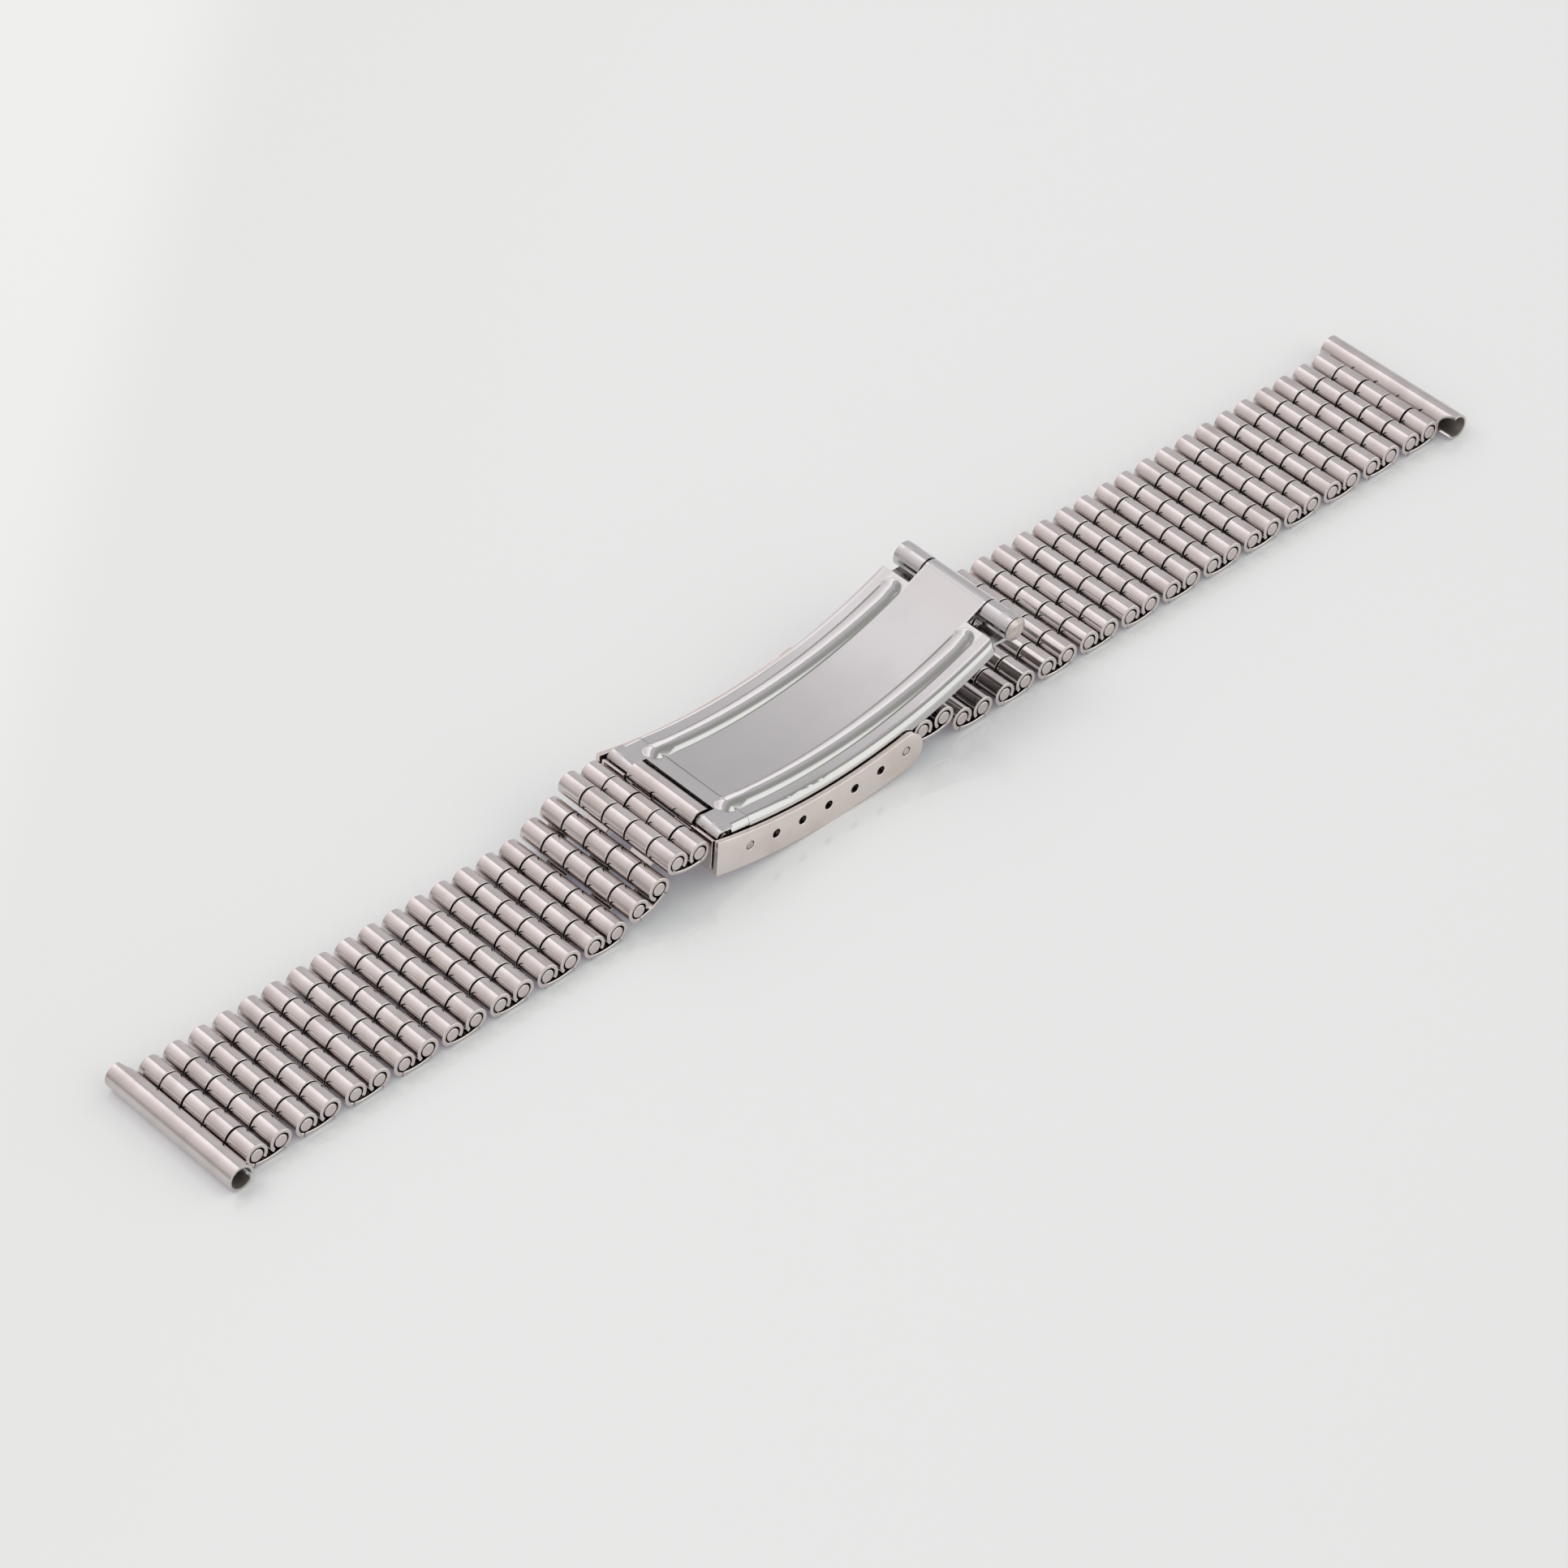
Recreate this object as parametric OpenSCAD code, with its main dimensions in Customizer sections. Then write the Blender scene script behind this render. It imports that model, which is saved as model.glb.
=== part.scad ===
// Five-link watch bracelet of folded stainless sheet, laid out straight with its tri-fold clasp closed.
// X runs along the strap, Y across it and Z up, from the outer face towards the wrist side.
// The bracelet rests on Z = 0 and is centred on X = 0 and Y = 0.

/* [Strap] */
// Width of a row of links
strap_w = 17.2; // [16:0.1:17.6]
// Gap between two neighbouring columns of links
column_gap = 0.22; // [0.12:0.02:0.3]
// Distance between the two pins of an outer link
outer_pitch = 3.08; // [3:0.02:3.4]
// Distance between the two pins of an inner link
inner_pitch = 3.24; // [3.1:0.02:3.5]
// Outer radius of the curl round a pin
curl_r = 1.4; // [1.32:0.02:1.46]
// Thickness of the folded sheet
link_sheet = 0.46; // [0.36:0.02:0.5]
// Radius of a link pin
pin_r = 0.76; // [0.6:0.02:0.8]
// Depth of a link's convex outer face below its pins
belly = 1.6; // [1.54:0.02:1.8]
// Angle below level at which a curl's free end stops
curl_end = 40; // [20:5:50]

/* [Lie of the strap] */
// Rise of the left connector towards the clasp, in degrees
left_connector_rise = 4; // [2:0.5:8]
// Rise of the first left link away from the clasp, in degrees
left_rise = 8; // [0:1:12]
// Drop of the second left link, in degrees
left_drop_2 = 38.5; // [34:0.5:42]
// Drop of the third left link, in degrees
left_drop_3 = 24.5; // [20:0.5:28]
// Rise of the right connector away from the clasp, in degrees
right_connector_rise = 3.8; // [3:0.2:6]
// Rise of the first right link, in degrees
right_rise = 1; // [0:0.5:4]
// Drop of the third right link, in degrees
right_drop_3 = 5; // [2:0.5:10]

/* [End pieces] */
// Length of the tube that takes the watch's spring bar
end_w = 19.8; // [18:0.1:22]
// Outer radius of that tube
end_r = 1.52; // [1.45:0.01:1.58]
// Distance from the tube's axis to the last pin
end_pitch = 3.06; // [3:0.02:3.4]
// Thickness of an end piece's sheet
end_sheet = 0.32; // [0.28:0.02:0.4]
// Radius of the round cut at one end of the tube
end_cut_r = 2.2; // [2:0.1:2.4]
// Distance from the tube's axis to that cut
end_cut_from = 0.4; // [0.3:0.1:0.7]

/* [Cover] */
// Radius of the arc through the holes
clasp_r = 63; // [60:0.5:70]
// Height of that arc above the underside
hole_lift = 2.5; // [2.4:0.05:2.8]
// Gap between a wall and the upper blade
wall_gap = 0.15; // [0.15:0.05:0.5]
// Sheet thickness
cover_sheet = 0.6; // [0.5:0.05:0.7]
// Height of the walls
wall_h = 4.4; // [4.2:0.1:4.8]
// Distance from the lowest point to the left end
cover_left = 16.55; // [16.45:0.01:16.6]
// Lean of that end towards the clasp, in degrees
end_lean = 4; // [0:0.5:5]
// Arc length from the lowest point to the first hole
first_hole = 12.04; // [11.6:0.02:12.4]
// Arc length between two holes
hole_pitch = 3.722; // [3.66:0.01:3.78]
// Radius of a hole
hole_r = 0.53; // [0.48:0.01:0.6]
// Radius of the round right end of a wall
wall_end_r = 2.35; // [2.3:0.01:2.45]
// Thickness of the two end lips
lip_t = 0.4; // [0.3:0.02:0.42]
// Slot between an end lip and the wall
lip_slot = 0.35; // [0.25:0.05:0.5]
// Drop of the lips below the walls
lip_drop = 0.3; // [0.2:0.05:0.6]

/* [Blades] */
// Thickness of the blade sheet
blade_sheet = 0.45; // [0.4:0.01:0.46]
// Depth from the arc of the holes to the lower blade's outer face
lower_lift = 1.8; // [1.7:0.05:1.9]
// Gap between the two blades
blade_gap = 0.25; // [0.2:0.01:0.3]
// Distance from the lower blade's edge to the edge of the links
lower_margin = 3.6; // [3.5:0.1:3.9]
// Arc length over which it comes down from its hinge in the cover
lower_run = 5.4; // [5:0.1:6]
// Arc length by which it ends before the upper blade's body
lower_short = 1; // [0.9:0.05:1.3]
// Gap between the lower blade's head and the upper blade's turned-down edges
head_gap = 0.25; // [0.2:0.05:0.4]
// Arc length of that head
head_length = 3.6; // [3:0.1:5]
// Distance by which the upper blade stands out past the links on each side
blade_overhang = 0.2; // [0:0.05:0.25]
// Depth of its turned-down edges
edge_depth = 1.6; // [1.4:0.05:1.7]
// Outer radius of the bend to those edges
edge_r = 0.8; // [0.6:0.05:1]
// Arc length from the lowest point to the upper blade's kink
kink = 11.9; // [11.8:0.05:12]
// Arc length from the lowest point to the end of the upper blade's body
body_end = 25.5; // [25.3:0.05:25.7]
// Radius of the two corners there
corner_r = 1; // [0.6:0.1:1.4]
// Width of the notch on each side of the tongue
notch_w = 4.1; // [4:0.1:4.4]
// Arc length from the lowest point to the blade hinge
hinge_arc = 28.37; // [28.2:0.05:28.6]
// Outer radius of the tongue's curl
tongue_r = 1.45; // [1.42:0.01:1.5]
// Outer radius of the lower blade's curls
barrel_r = 1.5; // [1.46:0.01:1.55]
// Radius of the hinge pin
hinge_pin_r = 0.95; // [0.8:0.01:0.96]
// Length of the conical heads of the hinge pin
hinge_head_l = 0.45; // [0.4:0.05:0.6]
// Radius of the flat ends of those heads
hinge_tip_r = 0.7; // [0.5:0.05:0.9]

/* [Ribs] */
// Distance from the middle of a rib to the edge of the upper blade
rib_margin = 3.2; // [2.9:0.1:3.5]
// Width of a rib
rib_w = 2.4; // [2:0.05:2.5]
// Height of a rib above the blade
rib_h = 0.38; // [0.3:0.01:0.42]
// Arc length from the lowest point to the ribs' right end
rib_end = 23.7; // [22:0.1:23.8]
// Length of a rib past the kink
rib_tail = 0.4; // [0.2:0.05:0.4]
// Width of the groove round a rib
groove_w = 2.7; // [2.65:0.05:2.8]
// Depth of that groove
groove_depth = 0.06; // [0.04:0.01:0.08]

/* [Connectors and bars] */
// Distance between the two axes of a connector
connector_pitch = 3.32; // [3.28:0.01:3.36]
// Arc length from the lowest point to the left bar
left_bar_arc = 15.34; // [15.3:0.01:15.4]
// Depth of the left bar below the arc of the holes
left_bar_lift = 1.57; // [1.5:0.01:1.62]
// Outer radius of the ears round the left bar
ear_r = 1; // [0.96:0.01:1.02]
// Radius of a spring bar's tube
bar_r = 0.76; // [0.7:0.02:0.84]
// Radius of the bore in that tube
bar_bore_r = 0.47; // [0.46:0.01:0.52]
// Radius of a spring bar's tips
tip_r = 0.43; // [0.38:0.01:0.44]
// Length that a tip reaches into its tube
tip_hold = 1.5; // [1:0.1:2.5]
// Radius of the cover's hinge pin
cover_pin_r = 0.45; // [0.4:0.01:0.46]

/* [Hidden] */
$fn = 64;
over = 1;
bite = 0.2;
inset = 0.03;
sleeve_share = 0.7;
left_pins = 20;
right_pins = 26;
hole_count = 7;
curl_turn = 230;
tongue_turn = 250;
barrel_turn = 300;
end_slit_from = 332;
end_slit_to = 355;
side_gap = 0.2;
ear_gap = 0.25;
head_seat = 0.05;
light_steel = [0.78, 0.76, 0.76];
dark_steel = [0.55, 0.53, 0.53];

column_w = (strap_w - 4 * column_gap) / 5;
column_step = column_w + column_gap;
tube_w = 3 * column_w + 2 * column_gap - column_gap / 2;
lip_inner = tube_w / 2 + side_gap;
upper_w = strap_w + 2 * blade_overhang;
head_w = upper_w - 2 * (blade_sheet + head_gap);
lower_w = strap_w - 2 * lower_margin;
tongue_w = strap_w - 2 * notch_w;
rib_y = upper_w / 2 - rib_margin;
cover_inner = upper_w / 2 + wall_gap;
cover_w = 2 * (cover_inner + cover_sheet);
ear_outer = strap_w / 2;
ear_w = ear_outer - lip_inner;
barrel_inner = tongue_w / 2 + ear_gap;
barrel_w = ear_outer - barrel_inner;

cover_r = clasp_r + hole_lift;
lower_r = clasp_r - lower_lift;
upper_r = lower_r - blade_sheet - blade_gap;
upper_top = upper_r - blade_sheet;
hinge_r = upper_top + tongue_r;

function arc_deg(length) = length / clasp_r * 180 / PI;
function polar(radius, angle) = [radius * sin(angle), cover_r - radius * cos(angle)];

hole_1_deg = -arc_deg(first_hole);
hole_step_deg = arc_deg(hole_pitch);
last_hole_deg = hole_1_deg + (hole_count - 1) * hole_step_deg;
cover_left_deg = -arc_deg(cover_left + 2 * over);
left_end_at = [-cover_left, cover_r - sqrt(pow(clasp_r, 2) - pow(cover_left, 2))];
kink_deg = -arc_deg(kink);
body_end_deg = arc_deg(body_end);
hinge_deg = arc_deg(hinge_arc);
lower_end_deg = body_end_deg - arc_deg(lower_short);
head_deg = lower_end_deg - arc_deg(head_length);
lower_left_deg = hole_1_deg + arc_deg(lower_run);
rib_end_deg = arc_deg(rib_end);

cover_pin_at = polar(clasp_r, hole_1_deg);
right_bar_at = polar(clasp_r, last_hole_deg);
left_bar_at = polar(clasp_r - left_bar_lift, -arc_deg(left_bar_arc));
hinge_at = polar(hinge_r, hinge_deg);

function step(angle) = [cos(angle), sin(angle)];
left_start = left_bar_at - connector_pitch * step(left_connector_rise);
right_start = right_bar_at + connector_pitch * step(right_connector_rise);

// Rise of each link on the way from the clasp outwards; the last bent link on each side comes down to
// the table, so its angle follows from the heights.
function pitch(link) = link % 2 == 0 ? outer_pitch : inner_pitch;
function slope(slopes, link) = link < len(slopes) ? slopes[link] : 0;
function run(slopes, pin) =
    pin == 0 ? 0 : run(slopes, pin - 1) + pitch(pin - 1) * cos(slope(slopes, pin - 1));
function climb(slopes, pin) =
    pin == 0 ? 0 : climb(slopes, pin - 1) + pitch(pin - 1) * sin(slope(slopes, pin - 1));
left_bends = [left_rise, -left_drop_2, -left_drop_3];
left_last = asin((belly - left_start.y - climb(left_bends, 3)) / inner_pitch);
left_slopes = concat(left_bends, [left_last]);
right_low_pin = belly + outer_pitch * sin(right_drop_3);
right_last = asin((right_low_pin - right_start.y - climb([right_rise], 1)) / inner_pitch);
right_slopes = [right_rise, right_last, -right_drop_3];

left_tip = left_start.x - run(left_slopes, left_pins - 1) - end_pitch - end_r;
right_tip = right_start.x + run(right_slopes, right_pins - 1) + end_pitch + end_r;
middle_x = (left_tip + right_tip) / 2;

left_outer = [for (i = [1:left_pins / 2]) str("left_outer_link_", i)];
left_inner = [for (i = [1:left_pins / 2 - 1]) str("left_inner_link_", i)];
right_outer = [for (i = [1:right_pins / 2]) str("right_outer_link_", i)];
right_inner = [for (i = [1:right_pins / 2 - 1]) str("right_inner_link_", i)];

// A solid drawn in X and Z and carried across the strap, centred on Y = y
module across(width, y = 0) {
    translate([0, y + width / 2, 0]) rotate([90, 0, 0]) linear_extrude(width) children();
}

// A round bar across the strap at a point of the X-Z plane
module bar(at, radius, length, y = 0) {
    translate([at.x, y + length / 2, at.y]) rotate([90, 0, 0]) cylinder(r = radius, h = length);
}

// A sheet bent round a point, from one angle to another, given by its outer radius
module bend(at, radius, sheet, from, to, width, y = 0) {
    translate([at.x, y + width / 2, at.y]) rotate([90, 0, 0]) rotate([0, 0, from])
        rotate_extrude(angle = to - from) translate([radius - sheet, 0]) square([sheet, width]);
}

// A profile carried along the clasp's arc; in it X is the distance from the arc's centre and Y is sideways
module along_arc(from, to) {
    translate([0, 0, cover_r]) rotate([90, 0, 0]) rotate([0, 0, from - 90])
        rotate_extrude(angle = to - from) children();
}

// A rectangle between two radii, for along_arc
module band(inner, outer, width, y = 0) {
    translate([inner, y - width / 2]) square([outer - inner, width]);
}

// Turns a piece in the X-Z plane about its own origin and puts it in place
module lay(at, angle) {
    translate([at.x, 0, at.y]) rotate([0, -angle, 0]) children();
}

// A straight run of sheet between two points of its outer face; side is 1 where the sheet lies to the
// left of the way from a to b. It is a little thinner and narrower than the bends that it runs into.
module straight(a, b, sheet, side, width, y = 0) {
    along = (b - a) / norm(b - a);
    inward = side * [-along.y, along.x];
    from = a - bite * along;
    to = b + bite * along;
    across(width - 2 * inset, y) polygon([
        from + inset * inward, to + inset * inward,
        to + (sheet - inset) * inward, from + (sheet - inset) * inward]);
}

// Radius and half angle of the arc that touches both curls of a link, just outside its convex face
function belly_r(pitch) =
    (pow(pitch / 2, 2) + pow(belly + inset, 2) - pow(curl_r, 2)) / (2 * (belly + inset - curl_r));
function belly_deg(pitch) = asin(pitch / 2 / (belly_r(pitch) - curl_r));

// The convex face of a link and its curl on the right, about the middle between its two axes
module face_and_curl(pitch, y) {
    radius = belly_r(pitch) - inset;
    angle = belly_deg(pitch);
    half = angle + bite / radius * 180 / PI;
    bend([0, radius - belly], radius, link_sheet - 2 * inset, -90 - half, -90 + half,
        column_w - 2 * inset, y);
    bend([pitch / 2, 0], curl_r, link_sheet, -90 + angle, 180 + curl_end, column_w, y);
}

module left_curl(pitch, width, y) {
    bend([-pitch / 2, 0], curl_r, link_sheet, -curl_end, 270 - belly_deg(pitch), width, y);
}

module folded_plate(pitch, column) {
    y = column * column_step;
    face_and_curl(pitch, y);
    left_curl(pitch, column_w, y);
}

module outer_link() {
    color(light_steel) for (column = [-2, 0, 2]) folded_plate(outer_pitch, column);
    color(dark_steel) for (side = [-1, 1]) bar([side * outer_pitch / 2, 0], pin_r, strap_w);
}

module inner_link() {
    color(light_steel) for (column = [-1, 1]) folded_plate(inner_pitch, column);
}

// The tube lies on the left and the two curls on the right
module connector() {
    color(light_steel) {
        for (column = [-1, 1]) face_and_curl(connector_pitch, column * column_step);
        left_curl(connector_pitch, tube_w, 0);
    }
}

function pin_at(start, slopes, side, pin) = start + [side * run(slopes, pin), climb(slopes, pin)];

// Puts a link between two pins of one side; side is -1 on the left and 1 on the right
module on_strap(start, slopes, side, link) {
    near = pin_at(start, slopes, side, link);
    far = pin_at(start, slopes, side, link + 1);
    lay((near + far) / 2, side * slope(slopes, link)) children();
}

module left_outer_link(i) on_strap(left_start, left_slopes, -1, 2 * i - 2) outer_link();
module left_inner_link(i) on_strap(left_start, left_slopes, -1, 2 * i - 1) inner_link();
module right_outer_link(i) on_strap(right_start, right_slopes, 1, 2 * i - 2) outer_link();
module right_inner_link(i) on_strap(right_start, right_slopes, 1, 2 * i - 1) inner_link();

module left_connector() {
    lay((left_bar_at + left_start) / 2, left_connector_rise) rotate([0, 0, 180]) connector();
}

module right_connector() {
    lay((right_bar_at + right_start) / 2, right_connector_rise) connector();
}

// Angle at which a straight sheet from a point meets a circle; side picks one of the two tangents
function touch_deg(point, centre, radius, side) =
    atan2(point.y - centre.y, point.x - centre.x) + side * acos(radius / norm(point - centre));

// The piece about its last pin, with the tube towards -X
module end_piece() {
    tube_at = [-end_pitch, end_r - belly];
    lean = atan2(-tube_at.y, end_pitch) + asin((end_r - curl_r) / norm(tube_at));
    down = -step(90 + lean);
    slit_low = tube_at.y - (end_r - end_sheet) * sin(360 - end_slit_from);
    color(light_steel) {
        difference() {
            bend(tube_at, end_r, end_sheet, end_slit_to - 360, end_slit_from, end_w);
            translate([tube_at.x + end_cut_from + end_cut_r, end_w / 2, slit_low + inset])
                cylinder(r = end_cut_r, h = 2 * end_r);
        }
        for (column = [-1, 1]) {
            y = column * column_step;
            straight(tube_at + end_r * down, curl_r * down, end_sheet, 1, column_w, y);
            bend([0, 0], curl_r, end_sheet, -90 + lean, 180 + curl_end, column_w, y);
        }
    }
}

module left_end_piece() lay(pin_at(left_start, left_slopes, -1, left_pins - 1), 0) end_piece();

module right_end_piece() {
    lay(pin_at(right_start, right_slopes, 1, right_pins - 1), 0) rotate([0, 0, 180]) end_piece();
}

// The corners of the walls beyond a circle about the last hole
module wall_end_cut() {
    middle_r = cover_r - wall_h / 2;
    translate([0, 0, cover_r]) rotate([0, -last_hole_deg, 0]) translate([0, 0, -middle_r]) difference() {
        translate([0, -cover_w, -wall_h]) cube([2 * wall_end_r, 2 * cover_w, 2 * wall_h]);
        bar([0, 0], wall_end_r, 3 * cover_w);
    }
}

// A slab about the plane of the cover's left end, from one depth before it to another behind it
module left_slab(before, behind) {
    translate([left_end_at.x, 0, left_end_at.y]) rotate([0, end_lean, 0])
        translate([-before, -cover_w, -2 * wall_h])
            cube([before + behind, 2 * cover_w, 4 * wall_h]);
}

module cover() {
    right_deg = last_hole_deg + arc_deg(wall_end_r + over);
    lip_w = cover_inner - lip_slot - lip_inner;
    color(light_steel) difference() {
        union() {
            along_arc(cover_left_deg, right_deg) difference() {
                band(cover_r - wall_h, cover_r, cover_w);
                band(cover_r - wall_h - over, cover_r - cover_sheet, 2 * cover_inner);
            }
            for (side = [-1, 1]) intersection() {
                along_arc(cover_left_deg, 0) band(cover_r - wall_h + lip_drop, cover_r - cover_sheet / 2,
                    lip_w, side * (lip_inner + lip_w / 2));
                left_slab(over, lip_t);
            }
        }
        left_slab(6 * over, 0);
        for (i = [0:hole_count - 1])
            bar(polar(clasp_r, hole_1_deg + i * hole_step_deg), hole_r, cover_w + 2 * over);
        wall_end_cut();
    }
}

module cover_pin() {
    color(dark_steel) bar(cover_pin_at, cover_pin_r, cover_w);
}

// The pin and its two heads, which are turned down to a cone
module blade_pin() {
    head_y = ear_outer + head_seat;
    color(dark_steel) {
        bar(hinge_at, hinge_pin_r, 2 * (head_y + bite));
        for (side = [-1, 1]) translate([hinge_at.x, side * head_y, hinge_at.y]) rotate([-side * 90, 0, 0])
            cylinder(r1 = barrel_r - head_seat, r2 = hinge_tip_r, h = hinge_head_l);
    }
}

module lower_blade() {
    inner = lower_r - blade_sheet;
    left_top = polar(inner, lower_left_deg);
    curl_deg = touch_deg(left_top, cover_pin_at, ear_r, 1);
    right_low = polar(lower_r, lower_end_deg);
    barrel_deg = touch_deg(right_low, hinge_at, barrel_r, 1);
    arm_w = head_w / 2 - barrel_inner;
    color(light_steel) {
        along_arc(lower_left_deg, head_deg + arc_deg(bite)) band(inner + inset, lower_r - inset, lower_w);
        along_arc(head_deg, lower_end_deg) band(inner, lower_r, head_w);
        straight(left_top, cover_pin_at + ear_r * step(curl_deg), blade_sheet, 1, lower_w);
        bend(cover_pin_at, ear_r, blade_sheet, curl_deg, curl_deg + curl_turn, lower_w);
        for (side = [-1, 1]) {
            straight(right_low, hinge_at + barrel_r * step(barrel_deg), blade_sheet, 1, arm_w,
                side * (barrel_inner + arm_w / 2));
            bend(hinge_at, barrel_r, blade_sheet, barrel_deg, barrel_deg + barrel_turn, barrel_w,
                side * (barrel_inner + barrel_w / 2));
        }
    }
}

// A rectangle with its two corners at the inner radius rounded, for along_arc
module round_topped(inner, depth, width, radius) {
    difference() {
        band(inner, inner + depth, width);
        for (side = [-1, 1]) translate([inner + radius, side * (width / 2 - radius)]) difference() {
            translate([-radius - over, side > 0 ? 0 : -radius - over]) square([radius + over, radius + over]);
            circle(radius);
        }
    }
}

// The upper blade's section for along_arc; thinner takes a little off all its faces
module blade_section(thinner = 0) {
    difference() {
        round_topped(upper_top + thinner, edge_depth - 2 * thinner, upper_w - 2 * thinner, edge_r - thinner);
        round_topped(upper_r - thinner, edge_depth, upper_w - 2 * (blade_sheet - thinner),
            edge_r - blade_sheet + thinner);
    }
}

// A low round rib with round ends, down to the middle of the sheet under it
module rib(side) {
    y = side * rib_y;
    round_r = (pow(rib_w / 2, 2) + pow(rib_h, 2)) / (2 * rib_h);
    centre_r = upper_top + round_r - rib_h;
    foot_r = upper_top + (groove_depth + blade_sheet) / 2;
    left_deg = kink_deg - arc_deg(rib_tail);
    along_arc(left_deg, rib_end_deg) intersection() {
        translate([centre_r, y]) circle(round_r);
        band(upper_top - round_r, foot_r, 2 * round_r + over, y);
    }
    for (angle = [left_deg, rib_end_deg]) {
        translate([0, 0, cover_r]) rotate([0, -angle, 0]) translate([0, -y, -centre_r]) intersection() {
            sphere(round_r - inset);
            translate([-2 * round_r, -2 * round_r, centre_r - foot_r + inset]) cube(4 * round_r);
        }
    }
}

// The shallow groove round a rib, with a round right end
module groove(side) {
    floor_r = upper_top + groove_depth;
    along_arc(kink_deg - arc_deg(over), rib_end_deg + arc_deg(bite))
        band(upper_top - over, floor_r, groove_w, side * rib_y);
    translate([0, 0, cover_r]) rotate([0, -rib_end_deg, 0]) translate([0, -side * rib_y, inset - floor_r])
        cylinder(r = groove_w / 2 + inset, h = over);
}

// Rounds one right corner of the upper blade's body
module corner_cut(side) {
    translate([0, 0, cover_r]) rotate([0, -body_end_deg, 0])
        translate([-corner_r, side * (upper_w / 2 - corner_r), -upper_top - edge_depth - over]) difference() {
            translate([0, side > 0 ? 0 : -corner_r - over, 0])
                cube([corner_r + over, corner_r + over, edge_depth + 2 * over]);
            translate([0, 0, -over]) cylinder(r = corner_r, h = edge_depth + 4 * over);
        }
}

module upper_blade() {
    kink_top = polar(upper_top, kink_deg);
    ear_deg = touch_deg(kink_top, left_bar_at, ear_r, 1);
    end_top = polar(upper_top, body_end_deg);
    tongue_deg = touch_deg(end_top, hinge_at, tongue_r, -1);
    cut_x = left_bar_at.x + curl_r + column_gap;
    tail_l = (kink_top.x - left_bar_at.x - ear_r - inset) / sin(ear_deg);
    tail_end = kink_top + tail_l * step(ear_deg + 90);
    color(light_steel) {
        difference() {
            along_arc(kink_deg, body_end_deg) blade_section();
            for (side = [-1, 1]) {
                groove(side);
                corner_cut(side);
            }
        }
        for (side = [-1, 1]) {
            rib(side);
            bend(left_bar_at, ear_r, blade_sheet, ear_deg, ear_deg + curl_turn, ear_w,
                side * (lip_inner + ear_w / 2));
        }
        difference() {
            union() {
                translate([kink_top.x, 0, kink_top.y]) rotate([0, ear_deg, 180])
                    translate([-upper_top, 0, -bite])
                        linear_extrude(tail_l + bite) blade_section(2 * inset);
                straight(tail_end, left_bar_at + ear_r * step(ear_deg), blade_sheet, 1, 2 * ear_outer);
            }
            translate([cut_x - 2 * connector_pitch, -lip_inner - inset, 0])
                cube([2 * connector_pitch, 2 * (lip_inner + inset), 4 * connector_pitch]);
        }
        straight(end_top, hinge_at + tongue_r * step(tongue_deg), blade_sheet, -1, tongue_w);
        bend(hinge_at, tongue_r, blade_sheet, tongue_deg - tongue_turn, tongue_deg, tongue_w);
    }
}

// The tube, the two tips and the spring of a bar; the spring is drawn as the sleeve that its turns fill
module spring_bar(at, length) {
    color(dark_steel) difference() {
        bar(at, bar_r, length);
        bar(at, bar_bore_r, length + 2 * over);
    }
}

module bar_tips(at, length, reach) {
    tip_l = reach - length / 2 + tip_hold;
    color(light_steel) for (side = [-1, 1]) bar(at, tip_r, tip_l, side * (reach - tip_l / 2));
}

module bar_spring(at, length) {
    sleeve_l = length - 2 * tip_hold;
    color(dark_steel) difference() {
        bar(at, tip_r, sleeve_l);
        bar(at, tip_r * sleeve_share, sleeve_l + 2 * over);
    }
}

left_bar_l = tube_w;
right_bar_l = 2 * (cover_inner - side_gap);
module left_spring_bar() spring_bar(left_bar_at, left_bar_l);
module left_bar_tips() bar_tips(left_bar_at, left_bar_l, ear_outer);
module left_bar_spring() bar_spring(left_bar_at, left_bar_l);
module right_spring_bar() spring_bar(right_bar_at, right_bar_l);
module right_bar_tips() bar_tips(right_bar_at, right_bar_l, cover_w / 2);
module right_bar_spring() bar_spring(right_bar_at, right_bar_l);

translate([-middle_x, 0, 0]) {
    cover();
    cover_pin();
    lower_blade();
    blade_pin();
    upper_blade();
    left_spring_bar();
    left_bar_tips();
    left_bar_spring();
    left_connector();
    right_spring_bar();
    right_bar_tips();
    right_bar_spring();
    right_connector();
    for (i = [1:len(left_outer)]) left_outer_link(i);
    for (i = [1:len(left_inner)]) left_inner_link(i);
    for (i = [1:len(right_outer)]) right_outer_link(i);
    for (i = [1:len(right_inner)]) right_inner_link(i);
    left_end_piece();
    right_end_piece();
}
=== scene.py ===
import bpy
import bmesh
import math
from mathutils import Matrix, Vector

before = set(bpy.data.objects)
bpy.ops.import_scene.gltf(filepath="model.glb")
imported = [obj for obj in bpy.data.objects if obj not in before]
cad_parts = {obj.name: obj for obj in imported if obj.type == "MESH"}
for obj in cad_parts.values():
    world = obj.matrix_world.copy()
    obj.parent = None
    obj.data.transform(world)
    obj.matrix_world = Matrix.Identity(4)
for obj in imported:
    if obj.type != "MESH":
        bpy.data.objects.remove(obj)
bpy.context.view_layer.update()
scene = bpy.context.scene
mm = 0.001

# Camera: a long lens on the left of the near side, looking down at the wrist side of the bracelet.
camera = {
    "place": (-340.2, -362.6, 438.6),  # mm in the bracelet's frame
    "turn": (48.20, -0.08, -42.59),  # degrees
    "lens": 143.3,  # mm on a sensor 36 mm wide
}

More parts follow.
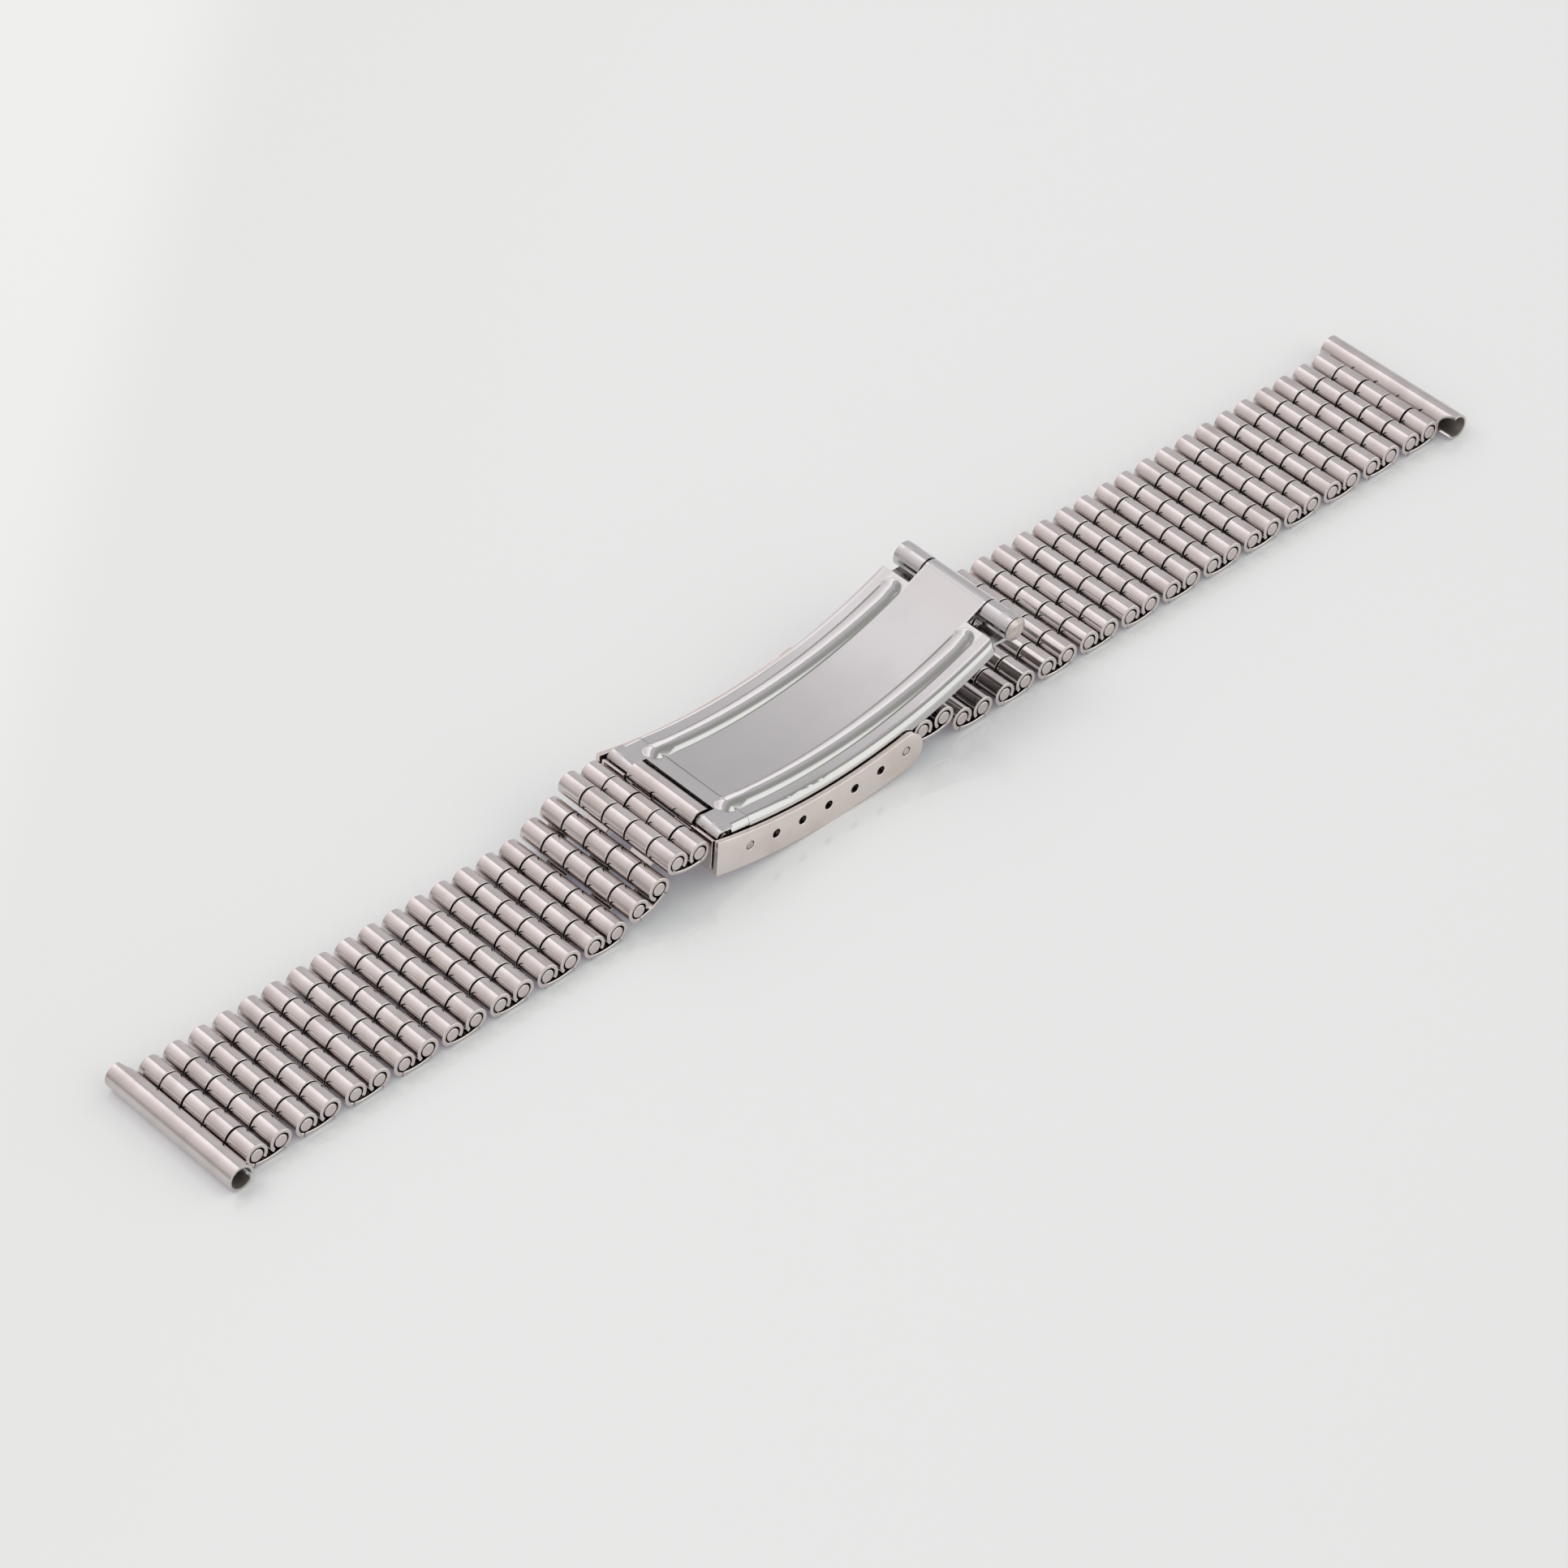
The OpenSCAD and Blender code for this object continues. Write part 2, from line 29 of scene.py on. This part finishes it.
cameraData = bpy.data.cameras.new("photoCamera")
cameraData.lens = camera["lens"]
cameraData.sensor_width = 36
cameraData.clip_start = 0.01
cameraData.clip_end = 20
photoCamera = bpy.data.objects.new("photoCamera", cameraData)
photoCamera.location = Vector(camera["place"]) * mm
photoCamera.rotation_euler = [math.radians(a) for a in camera["turn"]]
scene.collection.objects.link(photoCamera)
scene.camera = photoCamera
print("camera set")


def fromHex(code):
    # sRGB hex to the linear values that shaders take
    parts = [int(code[i:i + 2], 16) / 255 for i in (1, 3, 5)]
    return [c / 12.92 if c <= 0.04045 else ((c + 0.055) / 1.055) ** 2.4 for c in parts] + [1]


def addNode(tree, kind, settings=None, links=None):
    node = tree.nodes.new(kind)
    for key, value in (settings or {}).items():
        if isinstance(key, int) or key in node.inputs:
            node.inputs[key].default_value = value
        else:
            setattr(node, key, value)
    for key, source in (links or {}).items():
        tree.links.new(source, node.inputs[key])
    return node


def newMaterial(name):
    material = bpy.data.materials.new(name)
    material.use_nodes = True
    material.node_tree.nodes.clear()
    return material, material.node_tree


# Stainless sheet, 18/8 type: cold rolled, folded and then polished with a fine wheel. The eye sees a light
# grey that mirrors the room in sharp-edged bands, with fine streaks along each barrel.
linkSteel = {
    "colour": "#D2CDCB",
    "film": "#B9B1AE",  # thin warm film left in places
    "filmShare": 0.5,
    "filmSize": 3.0,  # mm across one patch of the film
    "roughness": 0.13,
    "roughnessSpread": 0.07,
    "streakWide": 0.09,  # mm between polishing streaks, drawn coarser than the real 0.02 mm
    "streakLong": 4.0,  # mm that one streak runs
    "streakDepth": 0.0009,  # mm
}

# The blades: the same sheet, blanked and pressed, with the fine even grain of rolled and tumbled strip.
# The ribs and the turned-down edges were drawn over the press tool and are brighter.
bladeSteel = {
    "colour": "#C9C8C8",
    "film": "#BFBEBE",
    "filmShare": 0.4,
    "filmSize": 7.0,
    "roughness": 0.35,
    "roughnessSpread": 0.06,
    "streakWide": 0.06,
    "streakLong": 0.12,
    "streakDepth": 0.0022,
    "pressed": {"middle": 5.6, "half": 1.3, "edge": 7.9, "roughness": 0.13},  # mm from the middle
}

# The cover: thicker sheet, bent to a channel and buffed along its length; a little warmer than the links.
coverSteel = {
    "colour": "#E6DCD8",
    "film": "#D4C5BA",
    "filmShare": 0.5,
    "filmSize": 4.0,
    "roughness": 0.22,
    "roughnessSpread": 0.08,
    "streakWide": 0.08,
    "streakLong": 6.0,
    "streakDepth": 0.001,
}

# Drawn wire, cut to length: pins and spring bars, with a duller skin than the polished sheet.
pinSteel = {
    "colour": "#C9C0BC",
    "film": "#A4978F",
    "filmShare": 0.8,
    "filmSize": 0.9,
    "roughness": 0.28,
    "roughnessSpread": 0.12,
    "streakWide": 0.06,
    "streakLong": 0.5,
    "streakDepth": 0.0015,
}

# The cut ends of the links: sheared sheet, ground level, so brighter and more matt.
cutEnd = {
    "from": 8.54,  # mm from the middle of the strap, just inside the ends of the barrels
    "colour": "#D5CAC8",
    "roughness": 0.3,
}

# Inside the two end tubes the sheet never met the wheel, so it is rougher; its darker mid grey is painted shade for
# the dim inside of the tubes.
shadedTubeBore = {
    "axis": (87.46, 0, 1.52),  # mm, the tubes' axes on both sides of the middle
    "radius": 1.3,  # mm, between the bore and the outside
    # painted shade: darker than the polished sheet, for the dim inside of the tubes
    "colour": "#A8A19B",
    "roughness": 0.6,
}


# How the two noises of every steel are used
pattern = {
    "filmFrom": 0.42,  # noise value at which the film starts
    "filmTo": 0.68,  # and at which it is full
    "roughFrom": 0.3,
    "roughTo": 0.95,
    "endBlend": 0.04,  # mm over which a barrel turns to its cut end
    "ribBlend": 0.1,  # mm over which a rib turns to the plain sheet
}


def bumpedMetal(tree, colour, rough, height):
    # height is in millimetres
    bump = addNode(tree, "ShaderNodeBump", {"Strength": 1.0, "Distance": mm}, {"Height": height})
    metal = addNode(tree, "ShaderNodeBsdfPrincipled", {"Metallic": 1.0},
                    {"Base Color": colour, "Roughness": rough, "Normal": bump.outputs["Normal"]})
    addNode(tree, "ShaderNodeOutputMaterial", {}, {"Surface": metal.outputs["BSDF"]})


def mixColour(tree, share, base, code):
    return addNode(tree, "ShaderNodeMix", {"data_type": "RGBA", 7: fromHex(code)}, {0: share, 6: base}).outputs[2]


def mixNumber(tree, share, base, number):
    return addNode(tree, "ShaderNodeMix", {"data_type": "FLOAT", 3: number}, {0: share, 2: base}).outputs[0]


def rise(tree, value, start, width):
    # 0 below start, 1 above start + width
    return addNode(tree, "ShaderNodeMapRange", {"From Min": start, "From Max": start + width},
                   {"Value": value}).outputs["Result"]


def steelMaterial(name, look, along, ends=None, bore=None):
    # along is the axis that the streaks run along: "X" or "Y"
    material, tree = newMaterial(name)
    metres = addNode(tree, "ShaderNodeTexCoord").outputs["Object"]
    place = addNode(tree, "ShaderNodeVectorMath", {"operation": "SCALE", "Scale": 1 / mm},
                    {0: metres}).outputs[0]  # in mm from here on
    wide, long = 1 / look["streakWide"], 1 / look["streakLong"]
    scale = (long, wide, wide) if along == "X" else (wide, long, wide)
    streakPlace = addNode(tree, "ShaderNodeMapping", {"Scale": scale}, {"Vector": place})
    streaks = addNode(tree, "ShaderNodeTexNoise", {"Scale": 1.0, "Detail": 3.0, "Roughness": 0.55},
                      {"Vector": streakPlace.outputs["Vector"]}).outputs["Fac"]
    film = addNode(tree, "ShaderNodeTexNoise", {"Scale": 1 / look["filmSize"], "Detail": 4.0},
                   {"Vector": place}).outputs["Fac"]
    filmShare = addNode(tree, "ShaderNodeMapRange", {
        "From Min": pattern["filmFrom"], "From Max": pattern["filmTo"],
        "To Max": look["filmShare"]}, {"Value": film}).outputs["Result"]
    colour = addNode(tree, "ShaderNodeMix", {
        "data_type": "RGBA", 6: fromHex(look["colour"]), 7: fromHex(look["film"])}, {0: filmShare}).outputs[2]
    mixed = addNode(tree, "ShaderNodeMath", {"operation": "MULTIPLY_ADD", 1: 0.5},
                    {0: filmShare, 2: streaks}).outputs["Value"]
    halfSpread = look["roughnessSpread"] / 2
    rough = addNode(tree, "ShaderNodeMapRange", {
        "From Min": pattern["roughFrom"], "From Max": pattern["roughTo"],
        "To Min": look["roughness"] - halfSpread, "To Max": look["roughness"] + halfSpread},
        {"Value": mixed}).outputs["Result"]
    height = addNode(tree, "ShaderNodeMath", {"operation": "MULTIPLY", 1: look["streakDepth"]},
                     {0: streaks}).outputs["Value"]
    axes = addNode(tree, "ShaderNodeSeparateXYZ", {}, {0: place})
    sideways = addNode(tree, "ShaderNodeMath", {"operation": "ABSOLUTE"}, {0: axes.outputs["Y"]}).outputs["Value"]
    if ends:
        share = rise(tree, sideways, ends["from"], pattern["endBlend"])
        colour = mixColour(tree, share, colour, ends["colour"])
        rough = mixNumber(tree, share, rough, ends["roughness"])
    if bore:
        flat = addNode(tree, "ShaderNodeCombineXYZ", {}, {
            0: addNode(tree, "ShaderNodeMath", {"operation": "ABSOLUTE"}, {0: axes.outputs["X"]}).outputs["Value"],
            2: axes.outputs["Z"]}).outputs[0]
        away = addNode(tree, "ShaderNodeVectorMath", {"operation": "DISTANCE", 1: bore["axis"]}, {0: flat})
        inside = addNode(tree, "ShaderNodeMath", {"operation": "LESS_THAN", 1: bore["radius"]},
                         {0: away.outputs["Value"]}).outputs["Value"]
        # inside the tube bores: painted shade in the colour, and a rougher finish
        colour = mixColour(tree, inside, colour, bore["colour"])
        rough = mixNumber(tree, inside, rough, bore["roughness"])
    if "pressed" in look:
        pressed = look["pressed"]
        offset = addNode(tree, "ShaderNodeMath", {"operation": "SUBTRACT", 1: pressed["middle"]}, {0: sideways})
        apart = addNode(tree, "ShaderNodeMath", {"operation": "ABSOLUTE"}, {0: offset.outputs["Value"]})
        offRib = rise(tree, apart.outputs["Value"], pressed["half"], pattern["ribBlend"])
        offEdge = addNode(tree, "ShaderNodeMath", {"operation": "LESS_THAN", 1: pressed["edge"]},
                          {0: sideways}).outputs["Value"]
        plain = addNode(tree, "ShaderNodeMath", {"operation": "MULTIPLY"}, {0: offRib, 1: offEdge}).outputs["Value"]
        rough = addNode(tree, "ShaderNodeMix", {"data_type": "FLOAT", 2: pressed["roughness"]},
                        {0: plain, 3: rough}).outputs[0]
    bumpedMetal(tree, colour, rough, height)
    return material


polishedLinks = steelMaterial("polishedStainlessLinks", linkSteel, "Y", cutEnd)
satinBlades = steelMaterial("satinStainlessBlades", bladeSteel, "X")
buffedCover = steelMaterial("buffedStainlessCover", coverSteel, "X")
polishedTubes = steelMaterial("polishedStainlessTubes", linkSteel, "Y", None, shadedTubeBore)
drawnPins = steelMaterial("drawnStainlessPins", pinSteel, "Y")
print("materials made")

# Edges: every sheared edge of the sheet is broken by the polishing wheel.
edges = {
    "link": 0.11,  # mm
    "tube": 0.12,
    "cover": 0.1,
    "blade": 0.06,
    "pin": 0.08,
    "angle": 42,  # degrees, above which an edge counts as sharp
    "steps": 4,
    "weld": 0.0005,  # mm
    "flat": 0.3,  # degrees, below which two faces are one
}


def dress(name, material, radius):
    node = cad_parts[name]
    node.data.materials.clear()
    node.data.materials.append(material)
    weld = node.modifiers.new("weld", "WELD")
    weld.merge_threshold = edges["weld"] * mm
    flats = node.modifiers.new("flatFaces", "DECIMATE")
    flats.decimate_type = "DISSOLVE"
    flats.angle_limit = math.radians(edges["flat"])
    bevel = node.modifiers.new("brokenEdges", "BEVEL")
    bevel.width = radius * mm
    bevel.segments = edges["steps"]
    bevel.limit_method = "ANGLE"
    bevel.angle_limit = math.radians(edges["angle"])
    bevel.use_clamp_overlap = "link" not in name  # a link's short edges would shrink its whole bevel
    shading = node.modifiers.new("faceShading", "WEIGHTED_NORMAL")
    shading.mode = "FACE_AREA"


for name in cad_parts:
    if "link" in name or "connector" in name:
        dress(name, polishedLinks, edges["link"])
    elif "end_piece" in name:
        dress(name, polishedTubes, edges["tube"])
    elif name == "cover":
        dress(name, buffedCover, edges["cover"])
    elif name in ("upper_blade", "lower_blade"):
        dress(name, satinBlades, edges["blade"])
    else:
        dress(name, drawnPins, edges["pin"])
print("nodes dressed")

# Studio: a pale table in a room that is white behind the left of the bracelet and grey on the right, with
# the dark edge of the white wall between the two. Straight opposite that wall the room is white again,
# and one softbox hangs overhead.
studio = {
    "table": "#DADEDA",
    "tableGlow": "#4F4C58",  # what the lit table adds to its own colour in the picture
    "tableSize": 6.0,  # m
    "tableDrop": 0.02,  # mm under the bracelet, so that the two don't share a face
    "tableRoughness": 0.05,
    "tableIor": 1.49,  # acrylic
    "surround": "#E6E6E6",
    "whiteSide": (-0.64, 0.715, -0.284),  # direction of the middle of the white side
    "bright": 1.5,  # strength of a colour that is written #FFFFFF
}

# The room's light from straight opposite the white side (0) to its middle (1). The stops from 0.575 to 0.97
# were worked out from how the tone falls off round one barrel in the photograph.
roomStops = [
    (0.0, "#F3F5F1"), (0.15, "#F3F5F1"), (0.21, "#8E8F8B"), (0.34, "#A19F9D"), (0.41, "#BCB9BC"),
    (0.46, "#BBB8BB"), (0.48, "#A9A7A5"), (0.497, "#989693"), (0.503, "#FFFBFD"), (0.575, "#F9F4F6"),
    (0.67, "#E0D9DA"), (0.77, "#CEC7C7"), (0.86, "#C2BCBA"), (0.97, "#979290"), (1.0, "#8A8583"),
]

# Each softbox: direction from the bracelet, distance and size in metres, brightness, colour
softboxes = {
    "overhead": {"from": (-0.42, 0.5, 0.76), "far": 1.2, "size": (0.55, 0.55), "bright": 1.9,
                 "colour": "#FFF8FA"},
}


def makeTable():
    mesh = bpy.data.meshes.new("table")
    half = studio["tableSize"] / 2
    shape = bmesh.new()
    bmesh.ops.create_grid(shape, x_segments=1, y_segments=1, size=half)
    shape.to_mesh(mesh)
    shape.free()
    table = bpy.data.objects.new("table", mesh)
    table.location = (0, 0, -studio["tableDrop"] * mm)
    scene.collection.objects.link(table)
    material, tree = newMaterial("paleAcrylicTable")
    acrylic = addNode(tree, "ShaderNodeBsdfPrincipled", {
        "Base Color": fromHex(studio["table"]), "Roughness": studio["tableRoughness"], "IOR": studio["tableIor"]})
    glow = addNode(tree, "ShaderNodeEmission", {"Color": fromHex(studio["tableGlow"])})
    path = addNode(tree, "ShaderNodeLightPath")
    looked = addNode(tree, "ShaderNodeMath", {"operation": "MAXIMUM"}, {0: path.outputs["Is Camera Ray"],
                                                                        1: path.outputs["Is Glossy Ray"]})
    lit = addNode(tree, "ShaderNodeAddShader", {}, {0: acrylic.outputs["BSDF"], 1: glow.outputs["Emission"]})
    shown = addNode(tree, "ShaderNodeMixShader", {}, {0: looked.outputs["Value"],
                                                      1: acrylic.outputs["BSDF"], 2: lit.outputs[0]})
    addNode(tree, "ShaderNodeOutputMaterial", {}, {"Surface": shown.outputs[0]})
    mesh.materials.append(material)


def makeRoom():
    world = bpy.data.worlds.new("room")
    world.use_nodes = True
    tree = world.node_tree
    tree.nodes.clear()
    path = addNode(tree, "ShaderNodeLightPath")
    towards = addNode(tree, "ShaderNodeTexCoord").outputs["Generated"]
    facing = addNode(tree, "ShaderNodeVectorMath", {"operation": "DOT_PRODUCT", 1: studio["whiteSide"]},
                     {0: towards}).outputs["Value"]
    share = addNode(tree, "ShaderNodeMapRange", {"From Min": -1.0, "From Max": 1.0}, {"Value": facing})
    walls = addNode(tree, "ShaderNodeValToRGB", {}, {"Fac": share.outputs["Result"]})
    stops = walls.color_ramp.elements
    stops[0].position, stops[1].position = roomStops[0][0], roomStops[-1][0]
    stops[0].color, stops[1].color = fromHex(roomStops[0][1]), fromHex(roomStops[-1][1])
    for position, code in roomStops[1:-1]:
        stops.new(position).color = fromHex(code)
    light = addNode(tree, "ShaderNodeBackground", {"Strength": studio["bright"]}, {"Color": walls.outputs["Color"]})
    seen = addNode(tree, "ShaderNodeBackground", {"Color": fromHex(studio["surround"]), "Strength": 1.0})
    both = addNode(tree, "ShaderNodeMixShader", {}, {0: path.outputs["Is Camera Ray"],
                                                     1: light.outputs[0], 2: seen.outputs[0]})
    addNode(tree, "ShaderNodeOutputWorld", {}, {"Surface": both.outputs[0]})
    scene.world = world


def makeSoftbox(name, box):
    data = bpy.data.lights.new(name, "AREA")
    data.shape = "RECTANGLE"
    data.size, data.size_y = box["size"]
    data.energy = box["bright"] * math.pi * box["size"][0] * box["size"][1]
    data.color = fromHex(box["colour"])[:3]
    lamp = bpy.data.objects.new(name, data)
    direction = Vector(box["from"]).normalized()
    lamp.visible_glossy = False  # the room alone draws the bands on the metal
    lamp.location = direction * box["far"]
    lamp.rotation_euler = direction.to_track_quat("Z", "Y").to_euler()
    scene.collection.objects.link(lamp)


makeTable()
makeRoom()
for boxName, box in softboxes.items():
    makeSoftbox(boxName, box)
scene.view_settings.view_transform = "Standard"
print("studio set")
